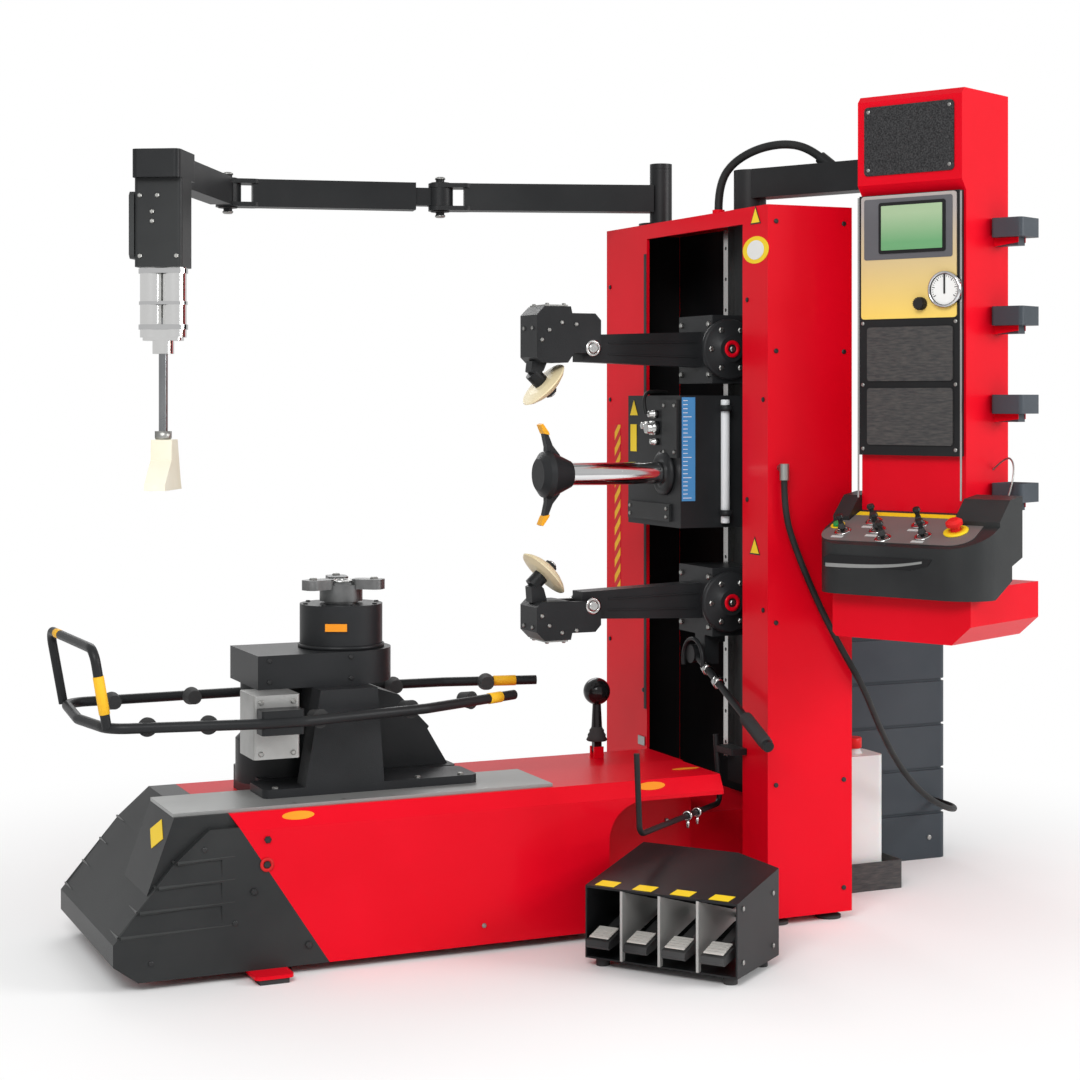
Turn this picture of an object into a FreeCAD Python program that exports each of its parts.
import FreeCAD, Part
import math
import os
import re
import Sketcher
from FreeCAD import Placement, Rotation, Vector

# Leverless tyre changer: a low steel base with a sliding wheel chuck, a tall tower that carries two bead discs
# and a mounting tool, an overhead presser arm, and a swivelling operator console.
# Frame: X runs along the base towards the tower, Y away from the operator, Z up, floor at zero.

doc = FreeCAD.newDocument("tyre_changer")
sheet = doc.addObject("Spreadsheet::Sheet", "Sheet")
nodes = []

# every driving size, in millimetres and degrees; x runs from the tower, y from the base's centre line
sizes = {
    # where the whole machine lies on the floor
    "tower_x": 397,
    "line_y": 67,
    "gap": 0.3,
    "running_fit": 0.05,

    # base
    "base_half_width": 292,
    "base_floor": 20,
    "deck_height": 343,
    "shoulder_height": 335,
    "rail_bed_height": 372,
    "rail_bed_near": -272,
    "rail_bed_far": -48,
    "deck_end": -87,
    "sheet_wall": 6,
    "nose_tip": -1601,
    "nose_front": -1590,
    "nose_lip_height": 121,
    "nose_knee": -1464,
    "nose_knee_height": 274,
    "nose_crest": -1385,
    "nose_foot": -1545,
    "nose_cut_top": -1317,
    "nose_cut_foot": -1106,
    "rail_bed_start": -1461,
    "rib_count": 3,
    "rib_depth": 7,
    "slide_plate_end": -537,
    "slide_plate_thickness": 8,
    "recess_start": -400,
    "recess_depth": 172,
    "recess_corner": 90,
    "deck_thickness": 10,
    "foot_tab_width": 90,
    "foot_tab_reach": 60,
    "foot_tab_x": -1252,
    "foot_pad_height": 12,

    # tower
    "tower_depth": 242,
    "tower_near": -358,
    "tower_far": 557,
    "tower_height": 1781,
    "tower_wall": 8,
    "near_flange": 126,
    "far_flange": 254,
    "crossbar_height": 40,
    "tower_foot_radius": 32,
    "column_half_width": 80,
    "column_front": 130,
    "rail_spread": 55,
    "rail_width": 24,
    "rail_depth": 20,
    "rail_foot": 352,
    "rail_length": 1400,

    # pedal box, in its own frame turned about Z
    "pedal_x": -442.5,
    "pedal_y": -642,
    "pedal_turn": -53,
    "pedal_box_width": 380,
    "pedal_box_depth": 300,
    "pedal_box_front_height": 186,
    "pedal_box_back_height": 230,
    "pedal_box_wall": 4,
    "pedal_corner": 130,
    "pedal_tongue_width": 80,
    "pedal_tongue_reach": 222,
    "pedal_pitch": 95,
    "pedal_pivot_back": 200,
    "pedal_pivot_height": 110,
    "pedal_rod_radius": 6,
    "pedal_pad_width": 58,

    # carriage, chuck and wheel lift
    "chuck_x": -982,
    "carriage_front": -1228,
    "carriage_back": -696,
    "leg_near": -182,
    "carriage_far": 200,
    "carriage_top": 623,
    "gearbox_height": 79,
    "gearbox_radius": 120,
    "gearbox_front": -1225,
    "hub_cover_radius": 100,
    "hub_cover_height": 105,
    "spindle_bore_radius": 18,
    "jaw_reach": 109,
    "jaw_count": 3,
    "jaw_height": 60,
    "lift_height": 567,
    "lift_tube_radius": 12,
    "lift_half_width": 264,
    "lift_handle_height": 178,
    "lift_block_length": 100,
    "roller_width": 36,

    # bead discs and mounting tool on the tower
    "upper_arm_height": 1430,
    "lower_arm_height": 778,
    "arm_depth": 68,
    "arm_half_width": 30,
    "arm_root_depth": 92,
    "head_front": -486,
    "head_back": -308,
    "head_half_width": 52,
    "head_pivot": -330,
    "upper_head_drop": 37,
    "upper_head_height": 142,
    "upper_disc_drop": 92,
    "lower_head_drop": 15,
    "lower_head_height": 98,
    "lower_disc_drop": 82,
    "disc_x": -445,
    "disc_radius": 70,
    "disc_tilt": 47,
    "axle_radius": 10,
    "saddle_half_width": 92,
    "saddle_height": 176,
    "saddle_front": -10,
    "tool_height": 1110,
    "tool_block_front": -100,
    "tool_block_near": -88,
    "tool_block_far": 215,
    "tool_block_height": 340,
    "tool_shaft_radius": 29,
    "tool_shaft_front": -372,
    "tool_cone_length": 88,
    "tool_flange_radius": 62,
    "tool_hook_reach": 128,

    # presser arm over the chuck
    "arm_level": 1862,
    "arm_tube_height": 75,
    "arm_tube_width": 58,
    "post_x": 93,
    "post_y": 400,
    "elbow_x": -494,
    "elbow_y": 599,
    "wrist_x": -1068,
    "wrist_y": 714,
    "press_x": -1376,
    "press_y": 177,
    "knuckle_radius": 36,
    "pin_radius": 12,
    "lug_thickness": 12,
    "valve_box_width": 118,
    "valve_box_depth": 96,
    "valve_box_top": 1834,
    "valve_box_height": 214,
    "cylinder_radius": 29,
    "cylinder_spread": 28,
    "cylinder_length": 169,
    "press_rod_radius": 11,
    "press_up_travel": 120,
    "press_foot_top": 1203,
    "press_foot_height": 122,

    # console, in its own frame turned about Z
    "console_x": 262,
    "console_y": -581.5,
    "console_turn": -64.5,
    "boom_pivot": -512,
    "boom_back": 66,
    "boom_width": 70,
    "boom_bottom": 1819,
    "boom_height": 75,
    "boom_stud_radius": 24,
    "boom_sleeve_radius": 42,
    "pillar_half_width": 144,
    "pillar_depth": 226,
    "pillar_wall": 5,
    "pillar_top": 2042,
    "header_bottom": 1816,
    "header_reach": 20,
    "panel_bottom": 1165,
    "skirt_bottom": 729,
    "skirt_top": 860,
    "desk_left": -190,
    "desk_right": 265,
    "desk_front": -150,
    "desk_back": 70,
    "desk_bottom": 836,
    "desk_front_height": 955,
    "desk_back_height": 1051,
    "desk_corner": 85,
    "gauge_radius": 42,
    "gauge_across": 104,
    "gauge_height": 1562,
    "stick_length": 46,
    "stick_pivot_depth": 5,
    "stick_ball_radius": 8,
    "start_radius": 11,
    "stop_radius": 12,
    "button_stem": 6,
    "holder_count": 4,
    "holder_pitch": 213,
    "holder_top": 1738,

    # hand levers beside the tower
    "ball_lever_x": -191,
    "ball_lever_y": 221,
    "ball_radius": 36,
    "ball_height": 520,
    "ball_pivot_height": 18,
    "ball_tang_width": 16,
    "ball_pin_radius": 5,
    "guard_lever_drop": 138,
    "guard_lever_x": -24,
    "guard_lever_y": -24,
    "guard_eye_depth": 30,
    "guard_pin_radius": 8,
    "guard_lever_length": 470,
    "latch_height": 280,
    "latch_bar_radius": 7,

    # power cabinet, lubricant and hoses behind the tower
    "cabinet_x": 373,
    "cabinet_y": 142,
    "cabinet_length": 500,
    "cabinet_depth": 400,
    "cabinet_height": 1000,
    "cabinet_rib_count": 7,
    "cabinet_wall": 10,
    "tray_x": 363,
    "tray_y": -129,
    "tray_length": 182,
    "tray_width": 171,
    "tray_height": 75,
    "tray_wall": 4,
    "bottle_length": 125,
    "bottle_width": 120,
    "bottle_height": 390,
    "hose_radius": 8,
    "fitting_x": 35,
    "fitting_height": 1132,
    "conduit_radius": 11,
}

for row, (alias, value) in enumerate(sizes.items(), 1):
    sheet.set("A%d" % row, str(value))
    sheet.setAlias("A%d" % row, alias)
doc.recompute()


def bound(formula):
    """A formula on the aliases, written as another object has to write it."""
    return re.sub(r"[a-z][a-z_]*", lambda word: "Sheet." + word.group() if word.group() in sizes else word.group(),
                  str(formula))


def number(formula):
    """The value of a formula on the aliases."""
    found = sheet.evalExpression(bound(formula))
    return float(getattr(found, "Value", found))


def point(x, y, z):
    return Vector(number(x), number(y), number(z))


def frame(x, y, z="0", turn="0"):
    """A place on the machine: along the base from the tower, across from the base's centre line, and a turn."""
    spot = point("tower_x + (%s)" % x, "line_y + (%s)" % y, z)
    return Placement(spot, Rotation(Vector(0, 0, 1), number(turn)))


# places of the controls on the desk top: across it and back from the pillar's front
STICK_SPOTS = [("-128", "-92"), ("-74", "-38"), ("-40", "-78"), ("-2", "-116"), ("56", "-44"), ("96", "-98")]
START_SPOT = ("-160", "-64")
STOP_SPOT = ("168", "-70")

# the guarded lever hangs from the lower arm, so its pin keeps a drop below that arm
GUARD_LEVEL = "(lower_arm_height - guard_lever_drop)"

WORLD = Placement()
ALONG_X = Rotation(Vector(0, 1, 0), 90)
ALONG_Y = Rotation(Vector(1, 0, 0), -90)


def place(thing, home, x="0", y="0", z="0", turn=Rotation()):
    """Puts a finished object at a point of a home frame, turned there."""
    thing.Placement = home.multiply(Placement(point(x, y, z), turn))
    return thing


def keep(thing, name):
    """Names a sub-part and puts it on the list that is written out."""
    thing.Label = name
    nodes.append(thing)
    return thing


def outline(body, plane, corners):
    """A closed outline of straight sides; each corner is held by two distances bound to the sheet."""
    role = {entry.Role: entry for entry in body.Origin.OriginFeatures}[plane + "_Plane"]
    sketch = body.newObject("Sketcher::SketchObject", body.Name + "_outline")
    sketch.AttachmentSupport = [(role, "")]
    sketch.MapMode = "FlatFace"
    spots = [Vector(number(across), number(up), 0) for across, up in corners]
    count = len(spots)
    for index in range(count):
        sketch.addGeometry(Part.LineSegment(spots[index], spots[(index + 1) % count]), False)
    for index in range(count):
        sketch.addConstraint(Sketcher.Constraint("Coincident", index, 2, (index + 1) % count, 1))
    for index, (across, up) in enumerate(corners):
        held = sketch.addConstraint(Sketcher.Constraint("DistanceX", -1, 1, index, 1, spots[index].x))
        sketch.setExpression("Constraints[%d]" % held, bound(across))
        held = sketch.addConstraint(Sketcher.Constraint("DistanceY", -1, 1, index, 1, spots[index].y))
        sketch.setExpression("Constraints[%d]" % held, bound(up))
    return sketch


def prism(name, plane, corners, start, length, rounding=None):
    """A padded outline from start over length along the plane's axis; rounding is (radius, edge test)."""
    body = doc.addObject("PartDesign::Body", name)
    sketch = outline(body, plane, corners)
    if plane == "XZ":
        sketch.setExpression("AttachmentOffset.Base.z", bound("-((%s) + (%s))" % (start, length)))
    else:
        sketch.setExpression("AttachmentOffset.Base.z", bound(start))
    pad = body.newObject("PartDesign::Pad", name + "_pad")
    pad.Profile = sketch
    pad.setExpression("Length", bound(length))
    doc.recompute()
    if rounding:
        radius, chosen = rounding
        edges = ["Edge%d" % (index + 1) for index, edge in enumerate(pad.Shape.Edges) if chosen(edge)]
        fillet = body.newObject("PartDesign::Fillet", name + "_fillet")
        fillet.Base = (pad, edges)
        fillet.setExpression("Radius", bound(radius))
        doc.recompute()
    return body


def upright(edge):
    return abs(edge.tangentAt(edge.FirstParameter).z) > 0.99


def slab(name, x, y, z, length, width, height, rounding=None):
    """A rectangular block from its lowest corner, with its upright edges rounded if asked."""
    corners = [(x, y), ("(%s) + (%s)" % (x, length), y),
               ("(%s) + (%s)" % (x, length), "(%s) + (%s)" % (y, width)), (x, "(%s) + (%s)" % (y, width))]
    return prism(name, "XY", corners, z, height, rounding and (rounding, upright))


def rod(name, radius, height, home=WORLD, x="0", y="0", z="0", turn=Rotation()):
    """A round bar whose axis starts at a point and runs along the turned Z axis."""
    bar = doc.addObject("Part::Cylinder", name)
    bar.setExpression("Radius", bound(radius))
    bar.setExpression("Height", bound(height))
    return place(bar, home, x, y, z, turn)


def turned(name, profile):
    """A revolved body: profile is a closed list of (radius, height) about the Z axis."""
    body = doc.addObject("PartDesign::Body", name)
    sketch = outline(body, "XZ", profile)
    spin = body.newObject("PartDesign::Revolution", name + "_turn")
    spin.Profile = sketch
    spin.ReferenceAxis = (sketch, ["V_Axis"])
    spin.Angle = 360
    doc.recompute()
    return body


def fuse(name, pieces):
    whole = doc.addObject("Part::MultiFuse", name)
    whole.Shapes = pieces
    whole.Refine = True
    return whole


def group(name, pieces):
    """Separate solids that share one node."""
    whole = doc.addObject("Part::Compound", name)
    whole.Links = pieces
    return whole


def cut(name, stock, tools):
    tool = tools[0] if len(tools) == 1 else fuse(name + "_tools", tools)
    left = doc.addObject("Part::Cut", name)
    left.Base = stock
    left.Tool = tool
    return left


def route_wire(points, share=0.45, radius=None):
    """Straight runs joined by tangent arcs, each as large as its two runs allow or of one given radius."""
    edges = []
    start = points[0]
    for before, corner, after in zip(points, points[1:], points[2:]):
        back = before - corner
        ahead = after - corner
        shorter = min(back.Length, ahead.Length)
        half_turn = (math.pi - back.getAngle(ahead)) / 2
        setback = share * shorter
        if radius is not None:
            setback = min(setback, radius * math.tan(half_turn))
        back.normalize()
        ahead.normalize()
        enter = corner + back * setback
        leave = corner + ahead * setback
        bend = setback / math.tan(half_turn)
        inward = (back + ahead).normalize()
        middle = corner + inward * (bend / math.cos(half_turn) - bend)
        if (enter - start).Length > 1e-6:
            edges.append(Part.LineSegment(start, enter).toShape())
        edges.append(Part.Arc(enter, middle, leave).toShape())
        start = leave
    edges.append(Part.LineSegment(start, points[-1]).toShape())
    return Part.Wire(edges)


def tube(name, points, radius, bend=None):
    """A solid round tube swept along a route."""
    wire = route_wire(points, radius=bend)
    first = points[1] - points[0]
    section = Part.Wire([Part.Circle(points[0], first, number(radius)).toShape()])
    solid = wire.makePipeShell([section], True, False)
    expected = math.pi * number(radius) ** 2 * wire.Length
    if abs(solid.Volume / expected - 1) > 0.02:
        raise ValueError("%s: tube volume is off by %.3f" % (name, solid.Volume / expected - 1))
    swept = doc.addObject("Part::Feature", name)
    swept.Shape = solid
    return swept


# ---------------------------------------------------------------- base
def recess_top_corner(edge):
    """The edge across the base where the foot recess turns from upright to level."""
    spot = edge.CenterOfMass
    across = abs(edge.tangentAt(edge.FirstParameter).y) > 0.99
    return across and spot.x < number("tower_x + recess_start + 1") and spot.z > number("base_floor")


def base_frame():
    """Welded sheet-steel base: a box with a raised near rail bed, a slanted nose joint and a foot recess."""
    section = [("line_y - base_half_width", "base_floor"), ("line_y - base_half_width", "shoulder_height"),
               ("line_y + rail_bed_near", "rail_bed_height"), ("line_y + rail_bed_far", "rail_bed_height"),
               ("line_y + rail_bed_far", "deck_height"), ("line_y + base_half_width", "deck_height"),
               ("line_y + base_half_width", "base_floor")]
    start = "tower_x + nose_cut_top - 60"
    hull = prism("base_hull", "YZ", section, start, "deck_end - nose_cut_top + 60")
    slope = "(nose_cut_foot - nose_cut_top) / (deck_height - base_floor)"
    nose_cut = prism("base_nose_cut", "XZ", [
        ("tower_x + nose_cut_foot + 20 * %s" % slope, "base_floor - 20"),
        ("tower_x + nose_cut_top - 60 * %s" % slope, "deck_height + 60"),
        ("tower_x + nose_tip - 100", "deck_height + 60"), ("tower_x + nose_tip - 100", "base_floor - 20")],
        "line_y - base_half_width - 10", "2 * base_half_width + 20")
    hollow = prism("base_hollow", "XZ", [
        ("tower_x + nose_cut_foot + 20 * %s" % slope, "base_floor - 20"),
        ("tower_x + nose_cut_top + 20", "shoulder_height - sheet_wall"),
        ("tower_x + recess_start - sheet_wall", "shoulder_height - sheet_wall"),
        ("tower_x + recess_start - sheet_wall", "base_floor - 20")],
        "line_y - base_half_width + sheet_wall", "2 * (base_half_width - sheet_wall)")
    recess = prism("base_recess", "XZ", [
        ("tower_x + recess_start", "base_floor - 10"),
        ("tower_x + recess_start", "shoulder_height - deck_thickness"),
        ("tower_x + deck_end + 10", "shoulder_height - deck_thickness"),
        ("tower_x + deck_end + 10", "base_floor - 10")],
        "line_y - base_half_width - 10", "recess_depth + 10", ("recess_corner", recess_top_corner))
    far_room = slab("base_far_room", "tower_x + recess_start - sheet_wall - 5",
                    "line_y - base_half_width + recess_depth + sheet_wall", "base_floor - 10",
                    "deck_end - recess_start + 5", "2 * base_half_width - recess_depth - 2 * sheet_wall",
                    "shoulder_height - sheet_wall - base_floor + 10")
    shell = cut("base_shell", hull, [nose_cut, hollow, recess, far_room])
    floor_plate = slab("base_floor_plate", "tower_x + nose_front + 60", "line_y - base_half_width + 52",
                       "foot_pad_height", "deck_end - nose_front - 60", "2 * base_half_width - 104",
                       "base_floor - foot_pad_height")
    tail = slab("base_tail", "tower_x + deck_end", "line_y - 110", "base_floor",
                "tower_depth - 60 - deck_end",
                "base_half_width + 110", "deck_height - base_floor - 100")
    sill = slab("base_sill", "tower_x + deck_end", "line_y + 90", "base_floor", "-deck_end",
                "base_half_width - 90",
                "deck_height - base_floor")
    tail_room = slab("base_tail_room", "tower_x + deck_end + sheet_wall", "line_y - 110 + sheet_wall",
                     "base_floor - 5",
                     "tower_depth - 60 - deck_end - 2 * sheet_wall", "base_half_width + 110 - 2 * sheet_wall",
                     "deck_height - base_floor - 100 - sheet_wall + 5")
    tail = cut("base_tail_shell", fuse("base_tail_full", [tail, sill]), [tail_room])
    tabs = [slab("foot_tab_%d" % side, "tower_x + foot_tab_x - foot_tab_width / 2", low, "foot_pad_height",
                 "foot_tab_width", "foot_tab_reach + 60", "base_floor - foot_pad_height", "12")
            for side, low in enumerate(("line_y - base_half_width - foot_tab_reach",
                                        "line_y + base_half_width - 60"))]
    keep(fuse("base_frame", [shell, floor_plate, tail] + tabs + lever_clevis()), "base_frame")


def lever_clevis():
    """Two cheeks and a pin on the deck that carry the ball lever."""
    home = frame("ball_lever_x", "ball_lever_y")
    parts = []
    for side in (-1, 1):
        near = "%d * (ball_tang_width / 2 + gap) %s" % (side, "- 6" if side < 0 else "")
        parts.append(place(slab("clevis_cheek", "-14", near, "deck_height", "28", "6",
                                "ball_pivot_height + 12"), home))
    parts.append(rod("clevis_pin", "ball_pin_radius", "ball_tang_width + 2 * gap + 12", home,
                     y="-ball_tang_width / 2 - gap - 6", z="deck_height + ball_pivot_height", turn=ALONG_Y))
    return parts


def nose_cover():
    """Moulded nose: sloped front, raised rail-bed fairing, shingled side ribs, open underneath."""
    slope = "(nose_cut_foot - nose_cut_top) / (deck_height - base_floor)"
    profile = [("tower_x + nose_foot", "base_floor"), ("tower_x + nose_tip", "base_floor + 40"),
               ("tower_x + nose_tip", "nose_lip_height - 13"), ("tower_x + nose_front", "nose_lip_height"),
               ("tower_x + nose_knee", "nose_knee_height"), ("tower_x + nose_crest", "deck_height"),
               ("tower_x + nose_cut_top - gap", "deck_height"),
               ("tower_x + nose_cut_foot - gap", "base_floor")]
    skin = prism("nose_skin", "XZ", profile, "line_y - base_half_width", "2 * base_half_width")
    inside = [("tower_x + nose_foot + sheet_wall", "base_floor - 5"),
              ("tower_x + nose_tip + sheet_wall", "base_floor + 40"),
              ("tower_x + nose_tip + sheet_wall", "nose_lip_height - 13 - sheet_wall / 2"),
              ("tower_x + nose_front + sheet_wall", "nose_lip_height - sheet_wall / 2"),
              ("tower_x + nose_knee + sheet_wall", "nose_knee_height - sheet_wall"),
              ("tower_x + nose_crest + sheet_wall / 2", "deck_height - sheet_wall"),
              ("tower_x + nose_cut_top + 20 * %s" % slope, "deck_height - sheet_wall"),
              ("tower_x + nose_cut_foot + 20", "base_floor - 5")]
    hollow = prism("nose_hollow", "XZ", inside, "line_y - base_half_width + sheet_wall",
                   "2 * (base_half_width - sheet_wall)")
    fairing = prism("nose_fairing", "XZ", [
        ("tower_x + rail_bed_start - 61", "nose_lip_height + 84"),
        ("tower_x + rail_bed_start", "rail_bed_height"),
        ("tower_x + nose_cut_top - gap - (rail_bed_height - deck_height) * %s" % slope, "rail_bed_height"),
        ("tower_x + nose_cut_top - gap", "deck_height"), ("tower_x + nose_crest", "deck_height - sheet_wall"),
        ("tower_x + nose_knee", "nose_knee_height - sheet_wall")],
        "line_y + rail_bed_near", "rail_bed_far - rail_bed_near")
    step = "(nose_knee_height - nose_lip_height) / rib_count"
    grooves = []
    for rib in range(int(number("rib_count"))):
        low = "nose_lip_height + %d * %s" % (rib, step)
        high = "nose_lip_height + %d * %s" % (rib + 1, step)
        for side in (-1, 1):
            face = "line_y + %d * base_half_width" % side
            grooves.append(prism("nose_groove", "YZ", [
                ("%s + %d" % (face, side), low), ("%s + %d" % (face, side), high),
                ("%s - %d * rib_depth / 2" % (face, side), high)],
                "tower_x + nose_tip - 5", "nose_cut_top - nose_tip - 35"))
    shell = cut("nose_shell", skin, [hollow])
    keep(cut("nose_cover", fuse("nose_full", [shell, fairing]), grooves), "nose_cover")


def slide_plate():
    """Ground steel plate on the rail bed, on which the wheel carriage runs."""
    keep(slab("slide_plate", "tower_x + rail_bed_start", "line_y + rail_bed_near + 10", "rail_bed_height",
              "slide_plate_end - rail_bed_start", "rail_bed_far - rail_bed_near - 10",
              "slide_plate_thickness"),
         "slide_plate")


def levelling_feet():
    """Rubber pads under the foot tabs and the pedal box, and round feet under the tower."""
    pads = []
    for side, low in enumerate(("line_y - base_half_width - foot_tab_reach + 4",
                                "line_y + base_half_width + 10")):
        pads.append(slab("tab_pad_%d" % side, "tower_x + foot_tab_x - 34", low, "0", "68", "46",
                         "foot_pad_height"))
    for x in ("45", "tower_depth - 45"):
        for y in ("tower_near + 40", "tower_far - 45"):
            foot = turned("tower_foot", [("0", "0"), ("tower_foot_radius", "0"), ("tower_foot_radius", "7"),
                                         ("tower_foot_radius / 3", "14"),
                                         ("tower_foot_radius / 3", "base_floor"),
                                         ("0", "base_floor")])
            pads.append(place(foot, frame(x, y)))
    home = frame("pedal_x", "pedal_y", "0", "pedal_turn")
    for x in ("-pedal_box_width / 2 + 30", "pedal_box_width / 2 - 30"):
        for y in ("30", "200"):
            pads.append(rod("pedal_foot", "16", "base_floor", home, x, y))
    keep(group("levelling_feet", pads), "levelling_feet")


# ---------------------------------------------------------------- tower
def conduit_route():
    """The console's cable conduit: up from the tower's lid and over to the boom."""
    start = frame("0", "0").Base + Vector(0, 0, number("tower_height"))
    return [start + bend for bend in (Vector(43, -28, 14), Vector(43, -28, 65), Vector(58, -52, 125),
                                      Vector(100, -110, 165), Vector(148, -180, 177), Vector(186, -240, 161),
                                      Vector(203, -272, 133))]


def tower_frame():
    """Folded-steel tower: a deep channel open towards the chuck, closed on top, with the boom's pivot stud."""
    plan = [("tower_x", "line_y + tower_near + near_flange"), ("tower_x", "line_y + tower_near"),
            ("tower_x + tower_depth", "line_y + tower_near"), ("tower_x + tower_depth", "line_y + tower_far"),
            ("tower_x", "line_y + tower_far"), ("tower_x", "line_y + tower_far - far_flange"),
            ("tower_x + tower_wall", "line_y + tower_far - far_flange"),
            ("tower_x + tower_wall", "line_y + tower_far - tower_wall"),
            ("tower_x + tower_depth - tower_wall", "line_y + tower_far - tower_wall"),
            ("tower_x + tower_depth - tower_wall", "line_y + tower_near + tower_wall"),
            ("tower_x + tower_wall", "line_y + tower_near + tower_wall"),
            ("tower_x + tower_wall", "line_y + tower_near + near_flange")]
    walls = prism("tower_walls", "XY", plan, "base_floor", "tower_height - base_floor")
    lid = slab("tower_lid", "tower_x", "line_y + tower_near", "tower_height - tower_wall", "tower_depth",
               "tower_far - tower_near", "tower_wall")
    bar = slab("tower_crossbar", "tower_x", "line_y + tower_near + near_flange",
               "tower_height - crossbar_height",
               "tower_wall", "tower_far - tower_near - near_flange - far_flange", "crossbar_height")
    sole = slab("tower_sole", "tower_x", "line_y + tower_near", "base_floor", "tower_depth",
                "tower_far - tower_near", "tower_wall")
    stud = turned("boom_stud", [("0", "tower_height"), ("boom_sleeve_radius + 12", "tower_height"),
                                ("boom_sleeve_radius + 12", "tower_height + 9"),
                                ("boom_stud_radius", "tower_height + 9"),
                                ("boom_stud_radius", "boom_bottom + boom_height - 4"),
                                ("0", "boom_bottom + boom_height - 4")])
    place(stud, console_home(), "boom_pivot", "boom_back")
    tail_gap = slab("tower_tail_gap", "tower_x - 1", "line_y - 110", "base_floor - 1",
                    "tower_depth - 59 + gap",
                    "base_half_width + 110 + gap", "tower_wall + 2")
    gland = rod("tower_gland", "conduit_radius + 5", "14")
    gland.Placement = Placement(conduit_route()[0] - Vector(0, 0, 14), Rotation())
    parts = [walls, lid, bar, cut("tower_floor", sole, [tail_gap]), stud, gland]
    keep(fuse("tower_frame", parts), "tower_frame")


def guide_column():
    """Hollow box column on the tower's back wall that carries the two linear rails."""
    back = "tower_depth - tower_wall"
    skin = slab("column_skin", "tower_x + column_front", "line_y - column_half_width", "deck_height - 60",
                "%s - column_front" % back, "2 * column_half_width", "tower_height - deck_height + 40")
    core = slab("column_core", "tower_x + column_front + tower_wall",
                "line_y - column_half_width + tower_wall",
                "deck_height - 70", "%s - column_front - 2 * tower_wall" % back,
                "2 * (column_half_width - tower_wall)", "tower_height - deck_height + 60")
    keep(cut("guide_column", skin, [core]), "guide_column")
    rails = []
    for side in (-1, 1):
        rails.append(slab("rail_bar", "tower_x + column_front - rail_depth",
                          "line_y + %d * rail_spread - rail_width / 2" % side, "rail_foot", "rail_depth",
                          "rail_width", "rail_length"))
    keep(group("guide_rails", rails), "guide_rails")


def saddle(name, low, height, front, near, far):
    """A block that runs on the two linear rails, grooved for them with a running gap."""
    block = slab(name + "_block", "tower_x + (%s)" % front, "line_y + (%s)" % near, low,
                 "column_front - rail_depth / 3 - (%s)" % front, "(%s) - (%s)" % (far, near), height)
    grooves = [slab(name + "_groove", "tower_x + column_front - rail_depth - gap",
                    "line_y + %d * rail_spread - rail_width / 2 - gap" % side, "(%s) - 5" % low,
                    "rail_depth + 10",
                    "rail_width + 2 * gap", "(%s) + 10" % height) for side in (-1, 1)]
    return cut(name, block, grooves)


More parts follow.
